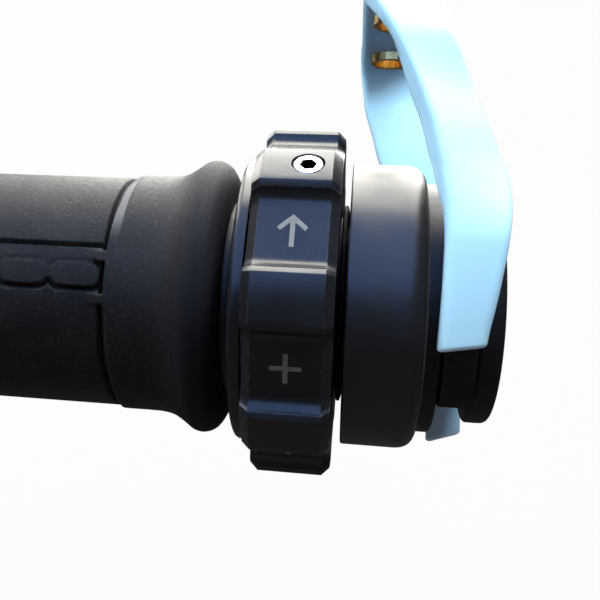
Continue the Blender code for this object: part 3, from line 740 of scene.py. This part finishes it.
def make_grip():
    end = GRIP.high
    flare = catmull([
        (end, 15.0), (end - 0.12, 15.9), (end - 0.6, 17.4), (end - 1.5, 18.75), (end - 2.8, 19.35),
        (end - 4.1, 19.2), (end - 5.3, 18.4), (end - 7.0, 17.4), (end - 8.8, 16.98), (end - 11.0, SLEEVE_R),
        (RING_GROOVE + 2.0, SLEEVE_R),
    ])
    low = GRIP.low
    inner = catmull([
        (low + 7.0, SLEEVE_R), (low + 5.2, 17.2), (low + 3.9, 18.3), (low + 2.6, 19.7), (low + 1.4, 20.0),
        (low + 0.4, 19.6), (low, 18.6), (low, 16.0),
    ])
    body = grip_stations(low + 7.0, RING_GROOVE + 2.0)
    xs = np.array([end] + [p[0] for p in flare] + body + [p[0] for p in inner] + [low])
    base = np.concatenate([[BORE_R], [p[1] for p in flare], np.full(len(body), BODY_R),
                           [p[1] for p in inner], [BORE_R]])
    on_body = np.zeros(len(xs))
    on_body[1 + len(flare):1 + len(flare) + len(body)] = 1.0
    angles = grip_angles()
    around = (np.mod(PAD_ROW_ANGLE - angles + math.pi, 2 * math.pi) - math.pi)[None, :] * BODY_R
    grid_x = xs[:, None] * np.ones(len(angles))[None, :]
    gradual = broken_groove(row_distance(around))        # where the body rises slowly to the sleeve
    sleeve = (gradual * smooth(RING_GROOVE - 1.0, 1.0, grid_x)
              + (1.0 - gradual) * smooth(RING_GROOVE + 0.2, 0.2, grid_x)
              + 1.0 - smooth(INNER_GROOVE - 0.2, 0.2, grid_x))
    shape = (SLEEVE_R - BODY_R) * sleeve - GROOVE_DEPTH * carving(grid_x, around)
    radii = base[:, None] + on_body[:, None] * shape
    mesh = grid_mesh("rubber_grip_skin", grid_x, angles, radii)
    add_piece("rubber_grip_skin", mesh, RUBBER, "throttle_sleeve", ("rubber_grip",),
              sharp=60.0)


# ---------------------------------------------------------------- throttle tube
def make_tube():
    """The nylon tube; its cable reel has three lips, two cable grooves, a pocket and a flat stop."""
    reel_high, flange, groove, outer = -122.0, 21.0, 17.5, 13.7
    wall = (reel_high - TUBE.low) / 5
    lips = [TUBE.low + wall * i for i in range(6)]
    corners = [(TUBE.high, TUBE_BORE, 0.15), (TUBE.high, outer, 0.4), (lips[5], outer, 0.3)]
    for i in (5, 3, 1):
        corners += [(lips[i], flange, 0.35), (lips[i - 1], flange, 0.35)]
        if i > 1:
            corners += [(lips[i - 1], groove, 0.5), (lips[i - 2], groove, 0.5)]
    corners.append((TUBE.low, TUBE_BORE, 0.5))
    blank = lathe("throttle_tube_fine", fillet(corners))
    middle = (TUBE.low + reel_high) / 2
    half = wall * 1.5
    pocket = [(middle - half, -2.5, 0.6), (middle + half, -2.5, 0.6),
              (middle + half, 2.5, 0.6), (middle - half, 2.5, 0.6)]
    stop = [(TUBE.low - 1, -30), (reel_high - 1.3, -30), (reel_high - 1.3, 30), (TUBE.low - 1, 30)]
    mesh = cut(blank, cutter(prism_mesh("pocket", fillet(pocket), 15.4, 22.0)),
               cutter(prism_mesh("stop", stop, -23.0, -16.0)))
    add_piece("throttle_tube_fine", mesh, NYLON, "throttle_sleeve", ("throttle_tube",))


# ---------------------------------------------------------------- friction ring
def make_ring():
    """The ring with its recess for the pad, the boss on its outboard side, and the pad."""
    bore, boss_r, disc_high = 11.1, 14.7, 3.0
    recess = PAD.high + 0.3
    turned_piece("friction_ring_fine", [
        (disc_high, bore, 0), (disc_high, RING.radius, 0.15), (RING.low, RING.radius, 0.9),
        (RING.low, 14.9, 0.15), (recess, 14.8, 0), (recess, bore, 0),
    ], ANODISED, "ring_carrier", ("friction_ring",))
    turned_piece("ring_boss", [
        (RING.high, bore, 0), (RING.high, boss_r, 0.3), (disc_high, boss_r, 0), (disc_high, bore, 0),
    ], ANODISED, "ring_carrier", ())
    turned_piece("friction_pad_fine", [
        (PAD.high, 11.6, 0), (PAD.high, 14.4, 0.15), (PAD.low, 14.4, 0.2), (PAD.low, 11.6, 0.2),
    ], PALE_NYLON, "ring_carrier", ("friction_pad",))


# ---------------------------------------------------------------- knob
LOBES = 8
LAND_R, EDGE_R = 24.0, 23.45             # a lobe's round top, and its bevelled edge
FLAT = 21.5                  # from the axis to the flats between the lobes
FLANK_R = 2.2                # hollow flank between a lobe's edge and the flat beside it
LAND, EDGE = math.radians(7.5), math.radians(9.2)      # half-angles of that top and that edge
KNOB_CHAMFER = 1.1           # on its two end faces
CLIP_GROOVE = (4.2, 5.8)     # groove in the counterbore for the ring clip, along the bar
CLIP_GROOVE_R = 16.0
SCREW_X = 10.1
SCREW_TOP = 23.85            # from the axis to the screw's face
SCREW_R = 2.0
SCREW_LENGTH = 7.5
SCREW_SIDES = 64
SOCKET_AF = 1.95             # across the flats of its hex socket
SOCKET_DEPTH = 2.6
SOCKET_REACH = 1.3           # faces this near the screw's axis belong to the socket


def knob_flank(steps=10):
    """Points (angle from the lobe's middle, radius) down its hollow flank to the flat's edge."""
    flat_middle = math.pi / LOBES
    half_width = EDGE_R * math.sin(flat_middle - EDGE)
    rise = EDGE_R * math.cos(flat_middle - EDGE) - FLAT
    swing = math.acos(1 - rise / FLANK_R)
    flat_edge = half_width - FLANK_R * math.sin(swing)
    points = []
    for i in range(1, steps + 1):
        turn = swing * (1 - i / steps)
        across = flat_edge + FLANK_R * math.sin(turn)
        out = FLAT + FLANK_R * (1 - math.cos(turn))
        points.append((flat_middle - math.atan2(across, out), math.hypot(across, out)))
    return points


def knob_outline():
    """(y, z) points round the knob, with softened corners, close enough for curved shading."""
    side = [(LAND, LAND_R, 0.25), (EDGE, EDGE_R, 0.1)] + [(a, r, 0.0) for a, r in knob_flank()]
    lobe = [(-a, r, soft) for a, r, soft in side[::-1]]
    lobe += [(LAND * k / 4, LAND_R, 0.0) for k in range(-3, 4)] + side
    flat = []
    for k in range(LOBES):
        turn = SCREW_ANGLE + k * 2 * math.pi / LOBES
        flat += [(r * math.cos(turn + a), r * math.sin(turn + a), soft) for a, r, soft in lobe]
    return fillet(flat, steps=3)


def make_knob():
    """The knob, with a counterbore for the boss, the clip's groove and the set screw's hole."""
    outline = knob_outline()
    angles = np.array([math.atan2(z, y) for y, z in outline])
    outer = np.array([math.hypot(y, z) for y, z in outline])
    low, high = KNOB.low, KNOB.high
    bore, counterbore, floor = 12.3, 15.0, 6.7
    edge = fillet([
        (high, 6.0, 0), (high, KNOB_CHAMFER, 0.18), (high - KNOB_CHAMFER, 0.0, 0.18),
        (low + KNOB_CHAMFER, 0.0, 0.18), (low, KNOB_CHAMFER, 0.18), (low, 6.0, 0),
    ], closed=False)
    inside = [
        (low, counterbore), (CLIP_GROOVE[0], counterbore), (CLIP_GROOVE[0], CLIP_GROOVE_R),
        (CLIP_GROOVE[1], CLIP_GROOVE_R), (CLIP_GROOVE[1], counterbore), (floor, counterbore),
        (floor, bore), (high, bore),
    ]
    rows = [outer - depth for x, depth in edge] + [np.full(len(angles), radius) for x, radius in inside]
    xs = [x for x, depth in edge] + [x for x, radius in inside]
    grid_x = np.array(xs)[:, None] * np.ones(len(angles))[None, :]
    mesh = grid_mesh("friction_knob_fine", grid_x, angles, np.array(rows))
    bm = bmesh.new()                     # the cut needs faces that point outwards
    bm.from_mesh(mesh)
    bmesh.ops.recalc_face_normals(bm, faces=bm.faces)
    bm.to_mesh(mesh)
    bm.free()
    hole = prism_mesh("hole", circle(SCREW_R + 0.12, SCREW_SIDES), -13.0, 3.0)
    mesh = cut(mesh, cutter(hole, radial_place(SCREW_X, LAND_R, SCREW_ANGLE)))
    add_piece("friction_knob_fine", mesh, ANODISED, "knob", ("friction_knob",),
              sharp=22.0)


ARROW = ((-0.3, -2.1), (0.3, -2.1), (0.3, 1.2), (1.5, 0.1), (1.92, 0.55), (0.0, 2.3), (-1.92, 0.55),
         (-1.5, 0.1), (-0.3, 1.2))
PLUS = ((-0.3, -1.95), (0.3, -1.95), (0.3, -0.3), (1.95, -0.3), (1.95, 0.3), (0.3, 0.3), (0.3, 1.95),
        (-0.3, 1.95), (-0.3, 0.3), (-1.95, 0.3), (-1.95, -0.3), (-0.3, -0.3))


def make_knob_marks():
    """Shallow marks on the knob's flats, arrows and plus signs in turn."""
    marks = bmesh.new()
    middle = (KNOB.low + KNOB.high) / 2
    for k in range(LOBES):
        turn = SCREW_ANGLE + (k + 0.5) * 2 * math.pi / LOBES
        shape = prism_mesh("mark", ARROW if k % 2 == 0 else PLUS, -0.06, 0.02)
        shape.transform(radial_place(middle, FLAT, turn))
        marks.from_mesh(shape)
    mesh = bpy.data.meshes.new("knob_marks")
    marks.to_mesh(mesh)
    marks.free()
    add_piece("knob_marks", mesh, MARK, "knob", ())


def screw_blank(chamfer=0.25):
    """The screw before its socket is cut, with its outer face at height 0."""
    bm = bmesh.new()
    rings = []
    for level, radius in ((-SCREW_LENGTH, SCREW_R), (-chamfer, SCREW_R), (0.0, SCREW_R - chamfer)):
        rings.append([bm.verts.new((a * MM, b * MM, level * MM)) for a, b in circle(radius, SCREW_SIDES)])
    for lower, upper in zip(rings, rings[1:]):
        for i in range(SCREW_SIDES):
            j = (i + 1) % SCREW_SIDES
            bm.faces.new((lower[i], lower[j], upper[j], upper[i]))
    bm.faces.new(rings[0][::-1])
    bm.faces.new(rings[-1])
    mesh = bpy.data.meshes.new("knob_set_screw_fine")
    bm.to_mesh(mesh)
    bm.free()
    return mesh


def make_set_screw():
    """The set screw, with its socket's walls and floor in a near-black second material, which is painted
    shade in the recess.
    """
    hexagon = circle(SOCKET_AF / math.sqrt(3), 6, math.radians(12))
    socket = prism_mesh("socket", hexagon, -SOCKET_DEPTH, 1.0)
    mesh = cut(screw_blank(), cutter(socket))
    mesh.transform(radial_place(SCREW_X, SCREW_TOP, SCREW_ANGLE))
    obj = add_piece("knob_set_screw_fine", mesh, STEEL, "set_screw", ("knob_set_screw",),
                    sharp=25.0)
    obj.data.materials.append(SOCKET_SHADE)
    top = Vector((SCREW_X, SCREW_TOP * math.cos(SCREW_ANGLE), SCREW_TOP * math.sin(SCREW_ANGLE))) * MM
    outward = Vector((0.0, math.cos(SCREW_ANGLE), math.sin(SCREW_ANGLE)))
    for face in obj.data.polygons:
        offset = Vector(face.center) - top
        depth = -offset.dot(outward)
        if (offset + outward * depth).length < SOCKET_REACH * MM and depth > 0.1 * MM:
            # painted shade on the socket's walls and floor
            face.material_index = 1


# ---------------------------------------------------------------- weight, collar, bush, cap
STUB_BORE = 10.8             # bore of the weight and the collar, round the spindle's stub
JOIN = WEIGHT.high - 0.3     # where the weight ends and the collar starts
NECK_R = 12.0


def make_weight():
    turned_piece("bar_end_weight_fine", [
        (JOIN, STUB_BORE, 0), (JOIN, WEIGHT.radius, 2.8), (WEIGHT.low, WEIGHT.radius, 0.35),
        (WEIGHT.low, STUB_BORE, 0),
    ], PAINT, "bar_end", ("bar_end_weight",), steps=8)


def make_collar():
    """The collar and its neck, bored out for the stub and then for the cap's spigot."""
    shoulder, seat, spigot_bore = 27.3, 29.8, 9.1
    turned_piece("guard_collar_fine", [
        (COLLAR.high, spigot_bore, 0), (COLLAR.high, NECK_R, 0.2), (shoulder, NECK_R, 0.3),
        (shoulder, COLLAR.radius, 0.5), (JOIN, COLLAR.radius, 0), (JOIN, STUB_BORE, 0),
        (seat, STUB_BORE, 0), (seat, spigot_bore, 0),
    ], MATT, "bar_end", ("guard_collar",), steps=6)


def make_cap():
    """The end cap: a disc, its spigot in the neck, and the cone for the bolt's head."""
    disc_low, spigot_r = 31.9, 8.8
    bolt_bore, cone_low, cone_high, cone_r = 4.3, 30.7, 34.1, 7.7
    turned_piece("end_cap_fine", [
        (CAP.high, cone_r, 0.1), (CAP.high, CAP.radius, 1.1), (disc_low, CAP.radius, 0.35),
        (disc_low, spigot_r, 0), (CAP.low, spigot_r, 0), (CAP.low, bolt_bore, 0),
        (cone_low, bolt_bore, 0), (cone_high, cone_r, 0),
    ], MATT, "bar_end", ("end_cap",), steps=6)


def make_bush():
    """Rubber ring round the neck, with two flats square to the guard's plane."""
    flat, radius = 12.35, COLLAR.radius      # from the axis to a flat, and to the round stretches
    reach = math.asin(flat / radius)
    outline = []
    for centre in (NEAR_ANGLE, NEAR_ANGLE + math.pi):
        for i in range(25):
            angle = centre - reach + 2 * reach * i / 24
            corner = 0.6 if i in (0, 24) else 0.0
            outline.append((radius * math.cos(angle), radius * math.sin(angle), corner))
    flat_outline = [(-z, y) for y, z in fillet(outline)]
    blank = prism_mesh("guard_bush_fine", flat_outline, BUSH.low, BUSH.high)
    bore = prism_mesh("bore", circle(NECK_R + 0.05, 96), BUSH.low - 1, BUSH.high + 1)
    mesh = cut(blank, cutter(bore))
    mesh.transform(ALONG_BAR)
    add_piece("guard_bush_fine", mesh, SEAL, "bar_end", ("guard_bush",))


# ---------------------------------------------------------------- hand-guard end
def guard_reach():
    """The guard fork's lowest and highest forward position and its height, in its tilted plane."""
    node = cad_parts["guard_fork"]
    points = [Vector(v.co) for v in node.data.vertices]
    forward = [p.dot(FORWARD) / MM for p in points]
    return min(forward), max(forward), max(p.dot(NEAR) / MM for p in points)


# the arms' edges in mm: forward position, inboard edge and outboard edge along the bar
UPPER_ARM = (
    (-5.2, 26.4, 32.0), (0.0, 26.6, 32.9), (4.0, 26.7, 33.5), (8.0, 26.7, 34.0), (11.5, 26.5, 34.3),
    (15.0, 25.9, 34.15), (18.0, 25.3, 33.15), (24.0, 23.5, 30.65), (32.0, 19.7, 27.2), (40.0, 15.6, 24.0),
)
LOWER_ARM = (
    (-21.4, 28.9, 34.1), (0.0, 27.2, 33.2), (10.0, 26.3, 32.3), (17.0, 22.6, 30.9), (22.5, 19.7, 29.7),
    (27.5, 18.1, 28.6), (32.0, 16.65, 27.2), (40.0, 15.6, 24.0),
)


def curve_through(stops, value):
    """Smooth (Catmull-Rom) pair of strap edges between stops of (position, inboard, outboard)."""
    places = [s[0] for s in stops]
    i = min(max(int(np.searchsorted(places, value)) - 1, 0), len(stops) - 2)
    t = (value - places[i]) / (places[i + 1] - places[i])
    t = min(max(t, 0.0), 1.0)
    out = []
    for k in (1, 2):
        p0 = stops[max(i - 1, 0)][k]
        p1, p2 = stops[i][k], stops[i + 1][k]
        p3 = stops[min(i + 2, len(stops) - 1)][k]
        out.append(0.5 * (2 * p1 + (p2 - p0) * t + (2 * p0 - 5 * p1 + 4 * p2 - p3) * t * t
                          + (3 * p1 - p0 - 3 * p2 + p3) * t ** 3))
    return out


GUARD_THICK = 3.2
GUARD_CORNER = 7.0           # bend between an arm and the bridge
INSERT_HOLE_R = 3.05
GUARD_RIM = 1.15             # rounding of the strap's long edges
TWIST = math.radians(26.0)   # the upper arm leans over between the neck and the bridge
LEAN_SHIFT = 0.4             # outboard shift of the leaning stretch, mm
LEAN_THICKER = 0.4           # added on the inside of the leaning stretch, mm
UPPER_SLANT, LOWER_SLANT = 0.17, 0.34    # the arms' ends are cut at a slant


def guard_path():
    """Stations of the strap: forward, height, outward direction, edge table, twist, slant."""
    lowest, highest, height = guard_reach()
    middle = height - GUARD_THICK / 2
    top = highest - GUARD_THICK / 2
    bend = top - GUARD_CORNER
    path = []
    for forward in np.linspace(UPPER_ARM[0][0], bend, 56):
        lean = TWIST * float(smooth(14.0, 6.0, forward) * (1.0 - smooth(bend - 3.0, 4.0, forward)))
        slant = UPPER_SLANT * float(1.0 - smooth(2.0, 6.0, forward))
        path.append((forward, middle, (0.0, 1.0), UPPER_ARM, lean, slant))
    for i in range(1, 13):
        angle = math.pi / 2 * i / 12
        drop = GUARD_CORNER * (1 - math.cos(angle))
        path.append((bend + GUARD_CORNER * math.sin(angle), middle - drop,
                     (math.sin(angle), math.cos(angle)), UPPER_ARM, 0.0, 0.0))
    for i in range(1, 12):
        path.append((top, (middle - GUARD_CORNER) * (1 - i / 6), (1.0, 0.0), UPPER_ARM, 0.0, 0.0))
    for i in range(13):
        angle = math.pi / 2 * i / 12
        rise = GUARD_CORNER * (1 - math.sin(angle))
        path.append((bend + GUARD_CORNER * math.cos(angle), -middle + rise,
                     (math.cos(angle), -math.sin(angle)), LOWER_ARM, 0.0, 0.0))
    for forward in np.linspace(bend, lowest, 60)[1:]:
        slant = LOWER_SLANT * float(1.0 - smooth(-14.0, 6.0, forward))
        path.append((forward, -middle, (0.0, -1.0), LOWER_ARM, 0.0, slant))
    return path


def guard_ring(forward, height, outward, arm, lean, slant):
    """Points round the strap's section at one station of guard_path()."""
    half = GUARD_THICK / 2
    inboard, outboard = curve_through(arm, forward)
    inside = -half - LEAN_THICKER * lean / TWIST
    section = fillet([(inboard, half, GUARD_RIM), (inboard, inside, GUARD_RIM),
                      (outboard, inside, GUARD_RIM), (outboard, half, GUARD_RIM)], steps=5)
    ring = []
    for x, lift in section:
        across, down = (x - inboard) / math.cos(lean), lift - half
        x_turned = inboard + LEAN_SHIFT * lean / TWIST + across * math.cos(lean) + down * math.sin(lean)
        lift_turned = half - across * math.sin(lean) + down * math.cos(lean)
        shift = slant * (x_turned - inboard)
        ring.append((Vector((x_turned, 0, 0)) + FORWARD * (forward + shift + outward[0] * lift_turned)
                     + NEAR * (height + outward[1] * lift_turned)) * MM)
    return ring


def make_guard():
    bm = bmesh.new()
    rings = [[bm.verts.new(spot) for spot in guard_ring(*station)] for station in guard_path()]
    count = len(rings[0])
    for a, b in zip(rings, rings[1:]):
        for i in range(count):
            j = (i + 1) % count
            bm.faces.new((a[i], a[j], b[j], b[i]))
    ends = [bm.faces.new(rings[0]), bm.faces.new(rings[-1][::-1])]
    bmesh.ops.recalc_face_normals(bm, faces=bm.faces)
    rim_edges = list({edge for face in ends for edge in face.edges})
    bmesh.ops.bevel(bm, geom=rim_edges, offset=0.45 * MM, segments=3, profile=0.5, affect="EDGES")
    mesh = bpy.data.meshes.new("guard_fork_fine")
    bm.to_mesh(mesh)
    bm.free()
    holes = [cutter(prism_mesh("hole", circle(INSERT_HOLE_R, 48), -6.0, 6.0), insert_place(side))
             for side in (-1, 1)]
    mesh = cut(mesh, *holes)
    guard = add_piece("guard_fork_fine", mesh, BLUE, "bar_end", ("guard_fork",), sharp=40.0)
    guard.visible_glossy = False         # mirrored, the guessed bridge would grey the weight's top


def insert_place(side):
    """Matrix of a brass insert in the guard's bridge, with local Z pointing forward."""
    low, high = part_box("guard_insert_lower" if side < 0 else "guard_insert_upper")
    centre = (Vector(low) + Vector(high)) / 2
    turn = FORWARD.to_track_quat("Z", "X").to_matrix().to_4x4()
    return Matrix.Translation(centre) @ turn


make_camera()
make_stage()
make_lights()
make_grip()
make_tube()
make_ring()
make_knob()
make_knob_marks()
make_set_screw()
make_weight()
make_collar()
make_cap()
make_bush()
make_guard()

# hidden or plain CAD nodes that are carried over as they are, with a look of their own
CARRIED = {
    "ring_clip": STEEL, "nylon_plug": PALE_NYLON, "spindle": SPINDLE_SHADE_BLACK,
    "expander_bung": SEAL, "bung_washer": STEEL, "expander_nut": STEEL, "centre_bolt": STEEL,
    "dust_o_ring": SEAL, "collar_dowel": STEEL, "guard_insert_lower": BRASS, "guard_insert_upper": BRASS,
}
for node_name, mat in CARRIED.items():
    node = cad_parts[node_name]
    node.data.materials.clear()
    node.data.materials.append(mat)
